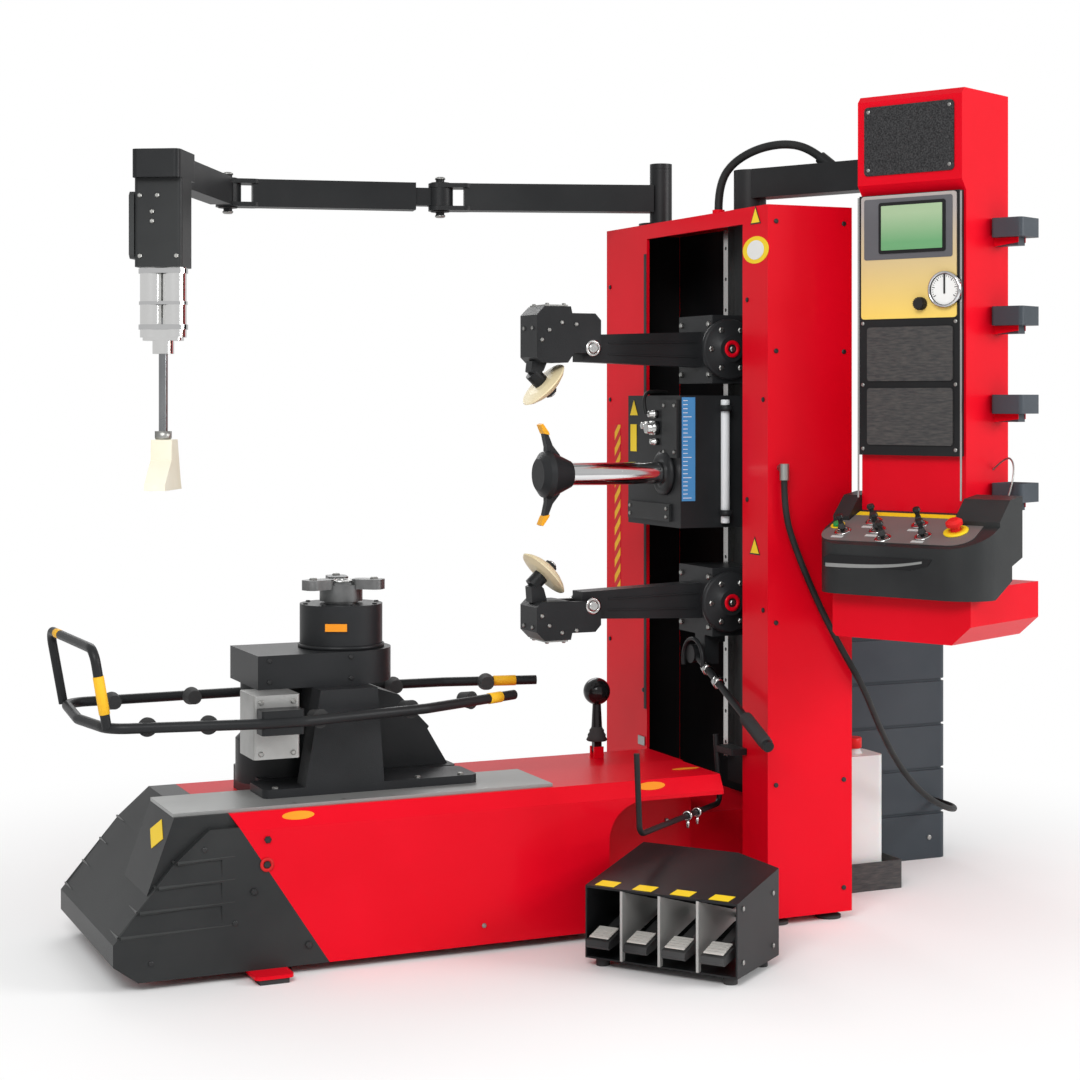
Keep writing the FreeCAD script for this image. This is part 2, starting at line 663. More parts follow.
# ---------------------------------------------------------------- bead discs
def bead_unit(name, level, side, drop, height, disc_drop, extras):
    """One bead disc with its head and its arm; side is 1 for the upper unit and -1 for its mirror below."""
    def away(offset):
        return "%s + %d * (%s)" % (level, side, offset)

    runner = saddle(name + "_saddle", "%s - saddle_height / 2" % level, "saddle_height", "saddle_front",
                    "-saddle_half_width", "saddle_half_width")
    tip = "tower_x + head_pivot - 20"
    beam = prism(name + "_beam", "XZ", [
        (tip, "%s - arm_depth / 2" % level), ("tower_x + saddle_front", "%s - arm_root_depth / 2" % level),
        ("tower_x + saddle_front", "%s + arm_root_depth / 2" % level), (tip, "%s + arm_depth / 2" % level)],
        "line_y - arm_half_width", "2 * arm_half_width")
    bore = rod(name + "_arm_bore", "pin_radius + running_fit", "2 * head_half_width",
               frame("head_pivot", "-head_half_width"), z=level, turn=ALONG_Y)
    keep(cut(name + "_arm", fuse(name + "_arm_full", [runner, beam] + extras), [bore]), name + "_arm")

    front = "tower_x + head_front"
    far = "(%s) - (%s)" % (height, drop)
    block = prism(name + "_head_block", "XZ", [
        (front, away("14 - %s" % drop)), (front + " + 14", away("-%s" % drop)),
        ("tower_x + head_pivot - 70", away("-%s" % drop)), ("tower_x + head_pivot - 52", away("-12")),
        ("tower_x + head_pivot + 8", away("-12")), ("tower_x + head_back", away("0")),
        ("tower_x + head_back", away("%s - 34" % far)), ("tower_x + head_back - 16", away("%s - 17" % far)),
        ("tower_x + head_pivot - 58", away("%s - 17" % far)), ("tower_x + head_pivot - 62", away(far)),
        (front + " + 22", away(far)), (front, away("%s - 22" % far))],
        "line_y - head_half_width", "2 * head_half_width")
    slot = slab(name + "_head_slot", "tower_x + head_pivot - 58", "line_y - arm_half_width - gap",
                "%s - 200" % level, "140", "2 * (arm_half_width + gap)", "400")
    pivot = rod(name + "_head_pin", "pin_radius", "2 * head_half_width",
                frame("head_pivot", "-head_half_width"),
                z=level, turn=ALONG_Y)
    bracket = prism(name + "_head_bracket", "XZ", [
        (front + " + 2", away("4 - %s" % drop)), (front + " + 44", away("4 - %s" % drop)),
        ("tower_x + disc_x - 7", away("36 - %s" % disc_drop)),
        ("tower_x + disc_x - 22", away("22 - %s" % disc_drop)),
        ("tower_x + disc_x - 42", away("32 - %s" % disc_drop))], "line_y - 19", "38")
    lean = Rotation(Vector(0, 1, 0), -number("disc_tilt") if side > 0 else number("disc_tilt") - 180)
    hub = frame("disc_x", "0")
    hub_z = away("-(%s)" % disc_drop)
    stub = turned(name + "_axle", [("0", "-31"), ("17", "-31"), ("17", "-24 - gap"),
                                   ("axle_radius", "-24 - gap"),
                                   ("axle_radius", "9 + gap"), ("20", "9 + gap"), ("20", "44"), ("0", "44")])
    place(stub, hub, z=hub_z, turn=lean)
    body = cut(name + "_head_body", block, [slot])
    keep(fuse(name + "_head", [body, pivot, bracket, stub]), name + "_head")

    bore_radius = "axle_radius + running_fit"
    disc = turned(name + "_disc", [(bore_radius, "9"), ("disc_radius * 0.6", "8"), ("disc_radius - 2", "2"),
                                   ("disc_radius", "-1"), ("disc_radius * 0.86", "-9"),
                                   ("disc_radius * 0.62", "-17"),
                                   ("disc_radius * 0.34", "-23"), (bore_radius, "-24")])
    keep(place(disc, hub, z=hub_z, turn=lean), name + "_disc")


def mounting_tool():
    """Sliding block with a hollow steel shaft and a conical head that has a hook above and one below."""
    block = saddle("tool_saddle", "tool_height - tool_block_height * 0.41", "tool_block_height",
                   "tool_block_front",
                   "tool_block_near", "tool_block_far")
    bore = rod("tool_bore", "tool_shaft_radius + running_fit",
               "column_front - tool_block_front - rail_depth - 30",
               frame("tool_block_front - 1", "0"), z="tool_height", turn=ALONG_X)
    room = slab("tool_room", "tower_x + tool_block_front + 40", "line_y + tool_block_near + 10",
                "tool_height - tool_block_height * 0.41 + 10",
                "column_front - rail_depth - tool_block_front - 60",
                "tool_block_far - tool_block_near - 20", "tool_block_height - 20")
    keep(cut("tool_carriage", block, [bore, room]), "tool_carriage")
    home = frame("tool_shaft_front", "0", "tool_height")
    keep(rod("tool_shaft", "tool_shaft_radius", "tool_block_front - tool_shaft_front + 150", home,
             turn=ALONG_X),
         "tool_shaft")
    cone = turned("tool_cone", [("0", "-tool_cone_length"), ("40", "-tool_cone_length"),
                                ("tool_flange_radius - 4", "14 - tool_cone_length"),
                                ("tool_flange_radius", "28 - tool_cone_length"), ("34", "0"), ("0", "0")])
    place(cone, home, turn=ALONG_X)
    hooks = []
    for side in (-1, 1):
        hook = prism("tool_hook", "XZ", [
            ("18 - tool_cone_length", "%d * 20" % side),
            ("20 - tool_cone_length", "%d * (tool_flange_radius + 8)" % side),
            ("12 - tool_cone_length", "%d * (tool_hook_reach - 22)" % side),
            ("4 - tool_cone_length", "%d * (tool_hook_reach - 2)" % side),
            ("9 - tool_cone_length", "%d * tool_hook_reach" % side),
            ("22 - tool_cone_length", "%d * (tool_hook_reach - 20)" % side),
            ("36 - tool_cone_length", "%d * (tool_flange_radius + 12)" % side),
            ("56 - tool_cone_length", "%d * (tool_flange_radius - 12)" % side),
            ("60 - tool_cone_length", "%d * 20" % side)],
            "-11", "22")
        hooks.append(place(hook, home))
    keep(fuse("tool_head", [cone] + hooks), "tool_head")


# ---------------------------------------------------------------- presser arm
def link(name, start, finish):
    """Length of one box-tube link of the arm, and its home: at its start, turned towards its end."""
    reach = math.hypot(finish[0] - start[0], finish[1] - start[1])
    angle = math.degrees(math.atan2(finish[1] - start[1], finish[0] - start[0]))
    home = Placement(Vector(start[0], start[1], 0), Rotation(Vector(0, 0, 1), angle))
    return reach, home


def barrel(name):
    """The bored end that a link turns on, between the lugs of the one before."""
    low = "arm_level - arm_tube_height / 2 + lug_thickness + gap"
    return turned(name, [("pin_radius + running_fit", low), ("knuckle_radius", low),
                         ("knuckle_radius", "arm_level + arm_tube_height / 2 - lug_thickness - gap"),
                         ("pin_radius + running_fit",
                          "arm_level + arm_tube_height / 2 - lug_thickness - gap")])


def fork(name, reach):
    """Two lugs and a pin at a link's far end."""
    low = "arm_level - arm_tube_height / 2"
    parts = []
    for index, height in enumerate((low, "arm_level + arm_tube_height / 2 - lug_thickness")):
        lug = slab("%s_lug_%d" % (name, index), "%f - 90" % reach, "-knuckle_radius", height,
                   "90 + knuckle_radius * 0.9", "2 * knuckle_radius", "lug_thickness", "knuckle_radius * 0.7")
        parts.append(lug)
    pin = rod(name + "_pin", "pin_radius", "arm_tube_height + 24", x="%f" % reach, z="%s - 12" % low)
    return parts + [pin]


def tube_box(name, start, finish):
    return slab(name, start, "-arm_tube_width / 2", "arm_level - arm_tube_height / 2",
                "(%s) - (%s)" % (finish, start), "arm_tube_width", "arm_tube_height")


def presser_arm():
    """Post on the tower, three links with upright hinges, and the pneumatic press unit at the end."""
    spots = [(number("tower_x + " + across), number("line_y + " + back)) for across, back in (
        ("post_x", "post_y"), ("elbow_x", "elbow_y"), ("wrist_x", "wrist_y"), ("press_x", "press_y"))]
    post = turned("post_body", [("0", "tower_height"), ("62", "tower_height"), ("62", "tower_height + 12"),
                                ("20", "tower_height + 12"), ("20", "arm_level + 84"),
                                ("31", "arm_level + 84"),
                                ("31", "arm_level + 98"), ("0", "arm_level + 98")])
    keep(place(post, frame("post_x", "post_y")), "presser_post")

    reach, home = link("one", spots[0], spots[1])
    sleeve = turned("one_sleeve", [("20 + running_fit", "tower_height + 12 + gap"),
                                   ("31", "tower_height + 12 + gap"),
                                   ("31", "arm_level + 84 - gap"),
                                   ("20 + running_fit", "arm_level + 84 - gap")])
    parts = [sleeve, tube_box("one_tube", "24", "%f - 66" % reach)] + fork("one", reach)
    keep(place(fuse("presser_link_one", parts), home), "presser_link_1")

    reach, home = link("two", spots[1], spots[2])
    neck = slab("two_neck", "knuckle_radius - 6", "-22",
                "arm_level - arm_tube_height / 2 + lug_thickness + gap + 1",
                "50", "44", "arm_tube_height - 2 * (lug_thickness + gap + 1)")
    parts = [barrel("two_barrel"), neck, tube_box("two_tube", "knuckle_radius + 36", "%f - 66" % reach)]
    keep(place(fuse("presser_link_two", parts + fork("two", reach)), home), "presser_link_2")

    reach, home = link("three", spots[2], spots[3])
    neck = slab("three_neck", "knuckle_radius - 6", "-22",
                "arm_level - arm_tube_height / 2 + lug_thickness + gap + 1",
                "50", "44", "arm_tube_height - 2 * (lug_thickness + gap + 1)")
    plate = slab("three_plate", "%f - 80" % reach, "-valve_box_width / 2", "valve_box_top", "150",
                 "valve_box_width", "arm_level + 40 - valve_box_top", "14")
    parts = [barrel("three_barrel"), neck, tube_box("three_tube", "knuckle_radius + 36", "%f - 60" % reach),
             plate]
    keep(place(fuse("presser_link_three", parts), home), "presser_link_3")

    head = Placement(Vector(spots[3][0], spots[3][1], 0), home.Rotation)
    box = slab("valve_box_body", "-valve_box_depth / 2", "-valve_box_width / 2",
               "valve_box_top - valve_box_height",
               "valve_box_depth", "valve_box_width", "valve_box_height", "10")
    keep(place(box, head), "press_head")

    low = "valve_box_top - valve_box_height"
    barrels = []
    for side in (-1, 1):
        barrels.append(rod("press_barrel", "cylinder_radius", "cylinder_length",
                           y="%d * cylinder_spread" % side,
                           z="%s - cylinder_length" % low))
    collar = rod("press_collar", "26", "40", z="%s - cylinder_length - 40" % low)
    bore = rod("press_bore", "press_rod_radius + running_fit", "cylinder_length + 60",
               z="%s - cylinder_length - 50" % low)
    bridge = slab("press_bridge", "-26", "-cylinder_spread - 20", "%s - cylinder_length - 8" % low, "52",
                  "2 * (cylinder_spread + 20)", "30", "16")
    keep(place(cut("press_cylinders", fuse("press_barrels", barrels + [collar, bridge]), [bore]), head),
         "press_cylinders")
    keep(rod("press_rod", "press_rod_radius", "%s - press_foot_top - press_up_travel - 2" % low, head,
             z="press_foot_top"), "press_rod")
    foot = prism("press_foot_body", "XZ", [
        ("-34", "press_foot_top"), ("-62", "press_foot_top - press_foot_height + 18"),
        ("-70", "press_foot_top - press_foot_height"), ("76", "press_foot_top - press_foot_height"),
        ("74", "press_foot_top - press_foot_height + 16"), ("20", "press_foot_top - 50"),
        ("16", "press_foot_top")],
        "-26", "52")
    keep(place(foot, head), "press_foot")


# ---------------------------------------------------------------- wheel carriage
def carriage():
    """Cast carriage that runs on the slide plate, with the gearbox housing and its round hub cover."""
    low = "rail_bed_height + slide_plate_thickness + gap"
    sole = slab("carriage_sole", "tower_x + carriage_front", "line_y + leg_near", low,
                "carriage_back - carriage_front", "rail_bed_far - leg_near", "20", "20")
    skid = slab("carriage_skid", "tower_x + carriage_front + 30", "line_y + rail_bed_far + 12",
                "deck_height + gap",
                "carriage_back - carriage_front - 30", "carriage_far - rail_bed_far - 12",
                "rail_bed_height - deck_height + 28",
                "14")
    leg = prism("carriage_leg", "XZ", [
        ("tower_x + chuck_x - 150", low), ("tower_x + chuck_x + 48", low),
        ("tower_x + chuck_x + 30", "carriage_top"),
        ("tower_x + chuck_x - 110", "carriage_top")], "line_y + leg_near", "66")
    column = turned("carriage_column", [("0", low), ("112", low), ("112", "%s + 100" % low),
                                        ("100", "%s + 112" % low),
                                        ("100", "carriage_top"), ("0", "carriage_top")])
    place(column, frame("carriage_front + 118", "70"))
    body = slab("carriage_body", "tower_x + chuck_x - 110", "line_y + leg_near + 60", "%s + 10" % low, "140",
                "carriage_far - leg_near - 70", "carriage_top - (%s) - 10" % low)
    rear = prism("carriage_rear", "XZ", [
        ("tower_x + chuck_x", low), ("tower_x + carriage_back", low),
        ("tower_x + carriage_back - 64", "%s + 108" % low),
        ("tower_x + carriage_back - 60", "%s + 114" % low),
        ("tower_x + carriage_back - 139", "carriage_top - 46"),
        ("tower_x + chuck_x", "carriage_top")], "line_y - 5", "carriage_far - 5")
    keep(fuse("carriage_frame", [sole, skid, leg, column, body, rear]), "carriage_frame")

    box = slab("gearbox_box", "tower_x + gearbox_front", "line_y - gearbox_radius", "carriage_top",
               "chuck_x - gearbox_front", "2 * gearbox_radius", "gearbox_height")
    bow = rod("gearbox_bow", "gearbox_radius", "gearbox_height", frame("chuck_x", "0"), z="carriage_top")
    cover = rod("hub_cover", "hub_cover_radius", "hub_cover_height", frame("chuck_x", "0"),
                z="carriage_top + gearbox_height")
    well = rod("hub_well", "41", "60", frame("chuck_x", "0"),
               z="carriage_top + gearbox_height + hub_cover_height - 50")
    keep(cut("gearbox_housing", fuse("gearbox_full", [box, bow, cover]), [well]), "gearbox_housing")

    top = "carriage_top + gearbox_height + hub_cover_height"
    hub = turned("chuck_hub", [("spindle_bore_radius", "%s - 49" % top), ("41 - gap", "%s - 49" % top),
                               ("41 - gap", "%s + 6" % top), ("52", "%s + 6" % top),
                               ("52", "%s + jaw_height - 14" % top), ("40", "%s + jaw_height - 8" % top),
                               ("spindle_bore_radius", "%s + jaw_height - 8" % top)])
    jaws = []
    count = int(number("jaw_count"))
    for index in range(count):
        jaw = slab("chuck_jaw", "spindle_bore_radius + 14", "-25", "%s + jaw_height - 24" % top,
                   "jaw_reach - spindle_bore_radius - 14", "50", "24", "18")
        jaws.append(place(jaw, Placement(Vector(), Rotation(Vector(0, 0, 1), 200 + index * 360 / count))))
    keep(place(fuse("chuck_plate", [hub] + jaws), frame("chuck_x", "0")), "chuck_plate")


def wheel_lift():
    """Bent-tube loop round the carriage with a raised handle, carried by an aluminium slide on the carriage."""
    level = number("lift_height")
    base = frame("0", "0").Base

    def spot(x, y, rise=0):
        return base + Vector(x, number(y), level + rise)

    loop = [spot(-550, "-57"), spot(-834, "-191"), spot(-1157, "-lift_half_width"),
            spot(-1257, "-lift_half_width"),
            spot(-1590, "-200"), spot(-1622, "-20"), spot(-1600, "lift_half_width - 14"),
            spot(-1157, "lift_half_width"),
            spot(-629, "lift_half_width - 32"), spot(-388, "lift_half_width - 88")]
    ring = tube("lift_loop", loop, "lift_tube_radius", 60)
    rise = number("lift_handle_height")
    bow = [spot(-1592, "-190"), spot(-1622, "-190", rise), spot(-1636, "lift_half_width - 20", rise),
           spot(-1604, "lift_half_width - 20")]
    handle = tube("lift_handle", bow, "lift_tube_radius - 1", 34)
    carrier = slab("lift_carrier", "tower_x - 1207 - lift_block_length / 2", "line_y - lift_half_width - 4",
                   "lift_height - 28", "lift_block_length", "lift_half_width - 215 + 4 - gap", "56", "8")
    keep(fuse("lift_frame", [ring, handle, carrier]), "lift_frame")

    guide = slab("lift_guide", "tower_x - 1207 - lift_block_length / 2 - 5", "line_y - 215",
                 "lift_height - 90",
                 "lift_block_length + 10", "122", "carriage_top - lift_height + 90", "8")
    keep(guide, "lift_bracket")

    rollers = []
    for run, share in ((0, 0.45), (1, 0.1), (1, 0.85), (3, 0.35), (3, 0.75), (6, 0.25), (6, 0.7), (7, 0.28),
                       (7, 0.74), (8, 0.45)):
        along = loop[run + 1] - loop[run]
        spot_on = loop[run] + along * share
        inward = Vector(0, 1 if spot_on.y < base.y else -1, 0)
        across = (inward - along * (inward.dot(along) / along.dot(along))).normalize()
        wheel = turned("lift_roller", [("0", "lift_tube_radius + gap"), ("22", "lift_tube_radius + gap"),
                                       ("17", "lift_tube_radius + roller_width"),
                                       ("0", "lift_tube_radius + roller_width")])
        wheel.Placement = Placement(spot_on, Rotation(Vector(0, 0, 1), across))
        rollers.append(wheel)
    keep(group("lift_rollers", rollers), "lift_rollers")


# ---------------------------------------------------------------- console
def console_home():
    return frame("console_x", "console_y", "0", "console_turn")


def desk_seat(home, across, back):
    """A place on the sloping desk top with its own Z square to the top."""
    rise = "desk_front_height + (desk_back_height - desk_front_height) * ((%s) - desk_front) / (desk_back - desk_front)" % back
    slope = math.degrees(math.atan2(number("desk_back_height - desk_front_height"),
                                    number("desk_back - desk_front")))
    return home.multiply(Placement(point(across, back, rise), Rotation(Vector(1, 0, 0), slope)))


def console():
    """Boom, pillar with its header and skirt, black panel frame and the sloping control desk."""
    home = console_home()
    boom = slab("boom_beam", "boom_pivot + boom_sleeve_radius - 12", "boom_back - boom_width / 2",
                "boom_bottom",
                "-boom_pivot - boom_sleeve_radius + 12 - pillar_half_width", "boom_width", "boom_height")
    sleeve = turned("boom_sleeve", [("boom_stud_radius + running_fit", "tower_height + 9 + gap"),
                                    ("boom_sleeve_radius", "tower_height + 9 + gap"),
                                    ("boom_sleeve_radius", "boom_bottom + boom_height"),
                                    ("0", "boom_bottom + boom_height"),
                                    ("0", "boom_bottom + boom_height - 4 + gap"),
                                    ("boom_stud_radius + running_fit",
                                     "boom_bottom + boom_height - 4 + gap")])
    place(sleeve, WORLD, "boom_pivot", "boom_back")
    route = conduit_route()
    gland = rod("boom_gland", "conduit_radius + 5", "46")
    gland.Placement = home.inverse().multiply(
        Placement(route[-1], Rotation(Vector(0, 0, 1), route[-1] - route[-2])))
    keep(place(fuse("console_boom", [boom, sleeve, gland]), home), "console_boom")

    mast = slab("pillar_mast", "-pillar_half_width", "header_reach", "skirt_bottom", "2 * pillar_half_width",
                "pillar_depth - header_reach", "pillar_top - skirt_bottom")
    header = prism("pillar_header", "YZ", [
        ("header_reach", "header_bottom - 18"), ("0", "header_bottom + 8"), ("0", "pillar_top - 14"),
        ("12", "pillar_top"), ("header_reach + 5", "pillar_top"), ("header_reach + 5", "header_bottom - 18")],
        "-pillar_half_width", "2 * pillar_half_width")
    skirt = prism("pillar_skirt", "XZ", [
        ("desk_left + 40", "skirt_bottom + 10"), ("desk_left + 50", "skirt_bottom"),
        ("desk_right - 90", "skirt_bottom"),
        ("desk_right - 40", "skirt_bottom + 45"), ("desk_right - 40", "skirt_top"),
        ("desk_left + 40", "skirt_top")],
        "desk_front + 46", "pillar_depth - desk_front - 46")
    desk_room = slab("skirt_desk_room", "desk_left - 10", "desk_front - 10", "desk_bottom - gap",
                     "desk_right - desk_left + 20", "header_reach - desk_front + 10", "300")
    room = slab("pillar_room", "-pillar_half_width + pillar_wall", "header_reach + pillar_wall",
                "skirt_bottom - 10",
                "2 * (pillar_half_width - pillar_wall)", "pillar_depth - header_reach - 2 * pillar_wall",
                "pillar_top - skirt_bottom - pillar_wall + 10")
    body = cut("pillar_body", fuse("pillar_raw", [mast, skirt]), [desk_room, room])
    keep(place(fuse("console_pillar", [body, header]), home), "console_pillar")

    surround = slab("panel_surround", "-pillar_half_width + 6", "-2", "panel_bottom",
                    "2 * pillar_half_width - 12",
                    "header_reach + 2", "header_bottom - 18 - panel_bottom")
    bezel = rod("gauge_bezel", "gauge_radius", "14", x="gauge_across", y="-2", z="gauge_height",
                turn=Rotation(Vector(1, 0, 0), 90))
    dial = rod("gauge_dial", "gauge_radius - 5", "5", x="gauge_across", y="-12", z="gauge_height",
               turn=Rotation(Vector(1, 0, 0), 90))
    keep(place(cut("panel_frame", fuse("panel_raw", [surround, bezel]), [dial]), home), "panel_frame")
    needle = slab("needle_bar", "-2", "-10", "0", "4", "46 * gauge_radius / 42", "2")
    turned_needle = home.multiply(Placement(point("gauge_across", "-12 - gap", "gauge_height"),
                                            Rotation(Vector(1, 0, 0), 90)))
    needle.Placement = turned_needle
    keep(needle, "gauge_needle")
    knob = turned("knob_body", [("0", "gap"), ("15", "gap"), ("13", "22"), ("0", "22")])
    knob.Placement = home.multiply(Placement(point("gauge_across - 66", "-2", "gauge_height - 32"),
                                             Rotation(Vector(1, 0, 0), 90)))
    keep(knob, "regulator_knob")

    profile = [("desk_front", "desk_bottom"), ("desk_front", "desk_front_height"),
               ("header_reach - gap", "desk_front_height + (desk_back_height - desk_front_height) "
                "* (header_reach - gap - desk_front) / (desk_back - desk_front)"),
               ("header_reach - gap", "desk_bottom + 40"), ("desk_front + 90", "desk_bottom")]
    tray = prism("desk_tray", "YZ", profile, "desk_left", "desk_right - desk_left",
                 ("desk_corner", lambda edge: upright(edge) and edge.CenterOfMass.y < number("desk_front") + 1))
    wings = []
    for side, start in enumerate(("desk_left", "pillar_half_width + gap")):
        length = ("-pillar_half_width - gap - desk_left", "desk_right - pillar_half_width - gap")[side]
        wings.append(prism("desk_wing_%d" % side, "YZ", [
            ("header_reach - 40", "desk_bottom + 60"), ("header_reach - 60", "desk_back_height - 36"),
            ("header_reach - 10", "desk_back_height + 14"), ("desk_back", "desk_back_height + 22"),
            ("desk_back", "desk_bottom + 92")], start, length))
    sockets = []
    for across, back in STICK_SPOTS:
        well = rod("stick_well", "stick_ball_radius + 4", "stick_pivot_depth + stick_ball_radius + gap + 10",
                   z="-stick_pivot_depth - stick_ball_radius - gap")
        well.Placement = desk_seat(WORLD, across, back).multiply(well.Placement)
        sockets.append(well)
    for (across, back), radius in ((START_SPOT, "start_radius"), (STOP_SPOT, "stop_radius")):
        well = rod("button_well", radius + " + gap", "button_stem + 30", z="-button_stem - 8")
        well.Placement = desk_seat(WORLD, across, back).multiply(well.Placement)
        sockets.append(well)
    keep(place(cut("console_desk", fuse("desk_full", [tray] + wings), sockets), home), "console_desk")
    return home


def desk_controls(home):
    """Sprung toggle sticks, the start button and the emergency stop on the desk."""
    for index, (across, back) in enumerate(STICK_SPOTS):
        stem = turned("stick_stem", [("0", "-stick_pivot_depth"), ("4.5", "-stick_pivot_depth"),
                                     ("6", "stick_length - 14"),
                                     ("10", "stick_length - 6"), ("8", "stick_length"),
                                     ("0", "stick_length")])
        ball = doc.addObject("Part::Sphere", "stick_ball")
        ball.setExpression("Radius", bound("stick_ball_radius"))
        place(ball, WORLD, z="-stick_pivot_depth")
        stick = fuse("stick_%d" % (index + 1), [stem, ball])
        stick.Placement = desk_seat(home, across, back)
        keep(stick, "joystick_%d" % (index + 1))
    start = turned("start_body", [("0", "-button_stem"), ("start_radius", "-button_stem"),
                                  ("start_radius", "8"),
                                  ("start_radius - 2", "10"), ("0", "10")])
    start.Placement = desk_seat(home, *START_SPOT)
    keep(start, "start_button")
    stop = turned("stop_body", [("0", "-button_stem"), ("stop_radius", "-button_stem"), ("stop_radius", "16"),
                                ("stop_radius + 8", "20"), ("stop_radius + 8", "28"), ("stop_radius", "34"),
                                ("0", "35")])
    stop.Placement = desk_seat(home, *STOP_SPOT)
    keep(stop, "stop_button")


def tool_holders(home):
    """Open trays for small tools, each on a bracket on the pillar's side."""
    trays = []
    for index in range(int(number("holder_count"))):
        top = "holder_top - %d * holder_pitch" % index
        cup = slab("holder_cup_%d" % index, "pillar_half_width + 4", "130", "%s - 46" % top, "84", "92", "46",
                   "10")
        room = slab("holder_room_%d" % index, "pillar_half_width + 8", "134", "%s - 42" % top, "76", "84",
                    "60", "7")
        arm = slab("holder_arm_%d" % index, "pillar_half_width", "160", "%s - 66" % top, "62", "34", "20")
        back = slab("holder_back_%d" % index, "pillar_half_width", "160", "%s - 66" % top, "4.5", "34", "60")
        trays.append(place(cut("holder_%d" % index, fuse("holder_raw_%d" % index, [cup, arm, back]), [room]),
                           home))
    keep(group("tool_holders", trays), "tool_holders")


# ---------------------------------------------------------------- pedals
def pedals():
    """Pedal box with an open front, upright dividers on a pivot rod, and four sprung pedals."""
    home = frame("pedal_x", "pedal_y", "0", "pedal_turn")
    half = "pedal_box_width / 2"
    skin = prism("pedal_skin", "YZ", [("0", "base_floor"), ("pedal_box_depth", "base_floor"),
                                      ("pedal_box_depth", "pedal_box_back_height"),
                                      ("0", "pedal_box_front_height")],
                 "-%s" % half, "pedal_box_width")
    room = prism("pedal_room", "YZ", [
        ("-5", "base_floor + pedal_box_wall"),
        ("pedal_box_depth - pedal_box_wall", "base_floor + pedal_box_wall"),
        ("pedal_box_depth - pedal_box_wall", "pedal_box_back_height - 1.3 * pedal_box_wall"),
        ("-5", "pedal_box_front_height - 1.3 * pedal_box_wall - 0.7")],
        "-%s + pedal_box_wall" % half, "pedal_box_width - 2 * pedal_box_wall")
    corner = prism("pedal_corner_cut", "XY", [
        ("%s + 10" % half, "pedal_box_depth - 65"), ("%s" % half, "pedal_box_depth - 65"),
        ("%s - pedal_corner" % half, "pedal_box_depth"), ("%s - pedal_corner" % half, "pedal_box_depth + 10"),
        ("%s + 10" % half, "pedal_box_depth + 10")], "base_floor - 5", "pedal_box_back_height")
    tongue = slab("pedal_tongue", "-%s" % half, "pedal_box_depth - 20", "base_floor", "pedal_tongue_width",
                  "pedal_tongue_reach + 20", "pedal_box_wall")
    keep(place(fuse("pedal_box", [cut("pedal_shell", skin, [room, corner]), tongue]), home), "pedal_box")

    bars = [rod("pedal_axle", "pedal_rod_radius", "pedal_box_width - 2 * pedal_box_wall",
                x="-%s + pedal_box_wall" % half,
                y="pedal_pivot_back", z="pedal_pivot_height", turn=ALONG_X)]
    for index in (-1, 0, 1):
        bars.append(prism("pedal_divider", "YZ", [
            ("-6", "base_floor + pedal_box_wall"), ("8", "base_floor + pedal_box_wall"), ("8", "60"),
            ("pedal_pivot_back - 10", "pedal_pivot_height - 14"),
            ("pedal_pivot_back + 14", "pedal_pivot_height - 14"),
            ("pedal_pivot_back + 14", "pedal_pivot_height + 14"),
            ("pedal_pivot_back - 10", "pedal_pivot_height + 14"),
            ("8", "pedal_box_front_height - 8"), ("-6", "pedal_box_front_height - 3")],
            "%d * pedal_pitch - 3" % index, "6"))
    keep(place(fuse("pedal_dividers", bars), home), "pedal_dividers")

    for index in range(4):
        centre = "(%s) * pedal_pitch" % (index - 1.5)
        arm = prism("pedal_arm", "YZ", [
            ("14", "64"), ("40", "52"), ("pedal_pivot_back", "pedal_pivot_height - 15"),
            ("pedal_pivot_back + 15", "pedal_pivot_height"), ("pedal_pivot_back", "pedal_pivot_height + 15"),
            ("40", "86")], "%s - 11" % centre, "22")
        pad = prism("pedal_pad", "YZ", [
            ("-34", "58"), ("-28", "52"), ("50", "62"), ("54", "70"), ("20", "82"), ("-30", "70")],
            "%s - pedal_pad_width / 2" % centre, "pedal_pad_width")
        bore = rod("pedal_bore", "pedal_rod_radius + running_fit", "60", x="%s - 30" % centre,
                   y="pedal_pivot_back",
                   z="pedal_pivot_height", turn=ALONG_X)
        keep(place(cut("pedal_%d" % (index + 1), fuse("pedal_raw", [arm, pad]), [bore]), home),
             "pedal_%d" % (index + 1))


# ---------------------------------------------------------------- hand levers
def guard_lug():
    """Lug and pin on the lower saddle, on which the guarded lever turns."""
    lug = slab("guard_lug", "tower_x + guard_lever_x + guard_eye_depth / 2 + gap",
               "line_y + guard_lever_y - 26",
               GUARD_LEVEL + " - 26", "40", "52", "guard_lever_drop - saddle_height / 2 + 36", "0.5")
    web = slab("guard_web", "tower_x + saddle_front", "line_y + guard_lever_y - 26",
               "lower_arm_height - saddle_height / 2 - 20", "60", "52", "30")
    pin = rod("guard_pin", "guard_pin_radius", "guard_eye_depth + 20 + gap",
              frame("guard_lever_x - guard_eye_depth / 2", "guard_lever_y"), z=GUARD_LEVEL, turn=ALONG_X)
    return [lug, web, pin]


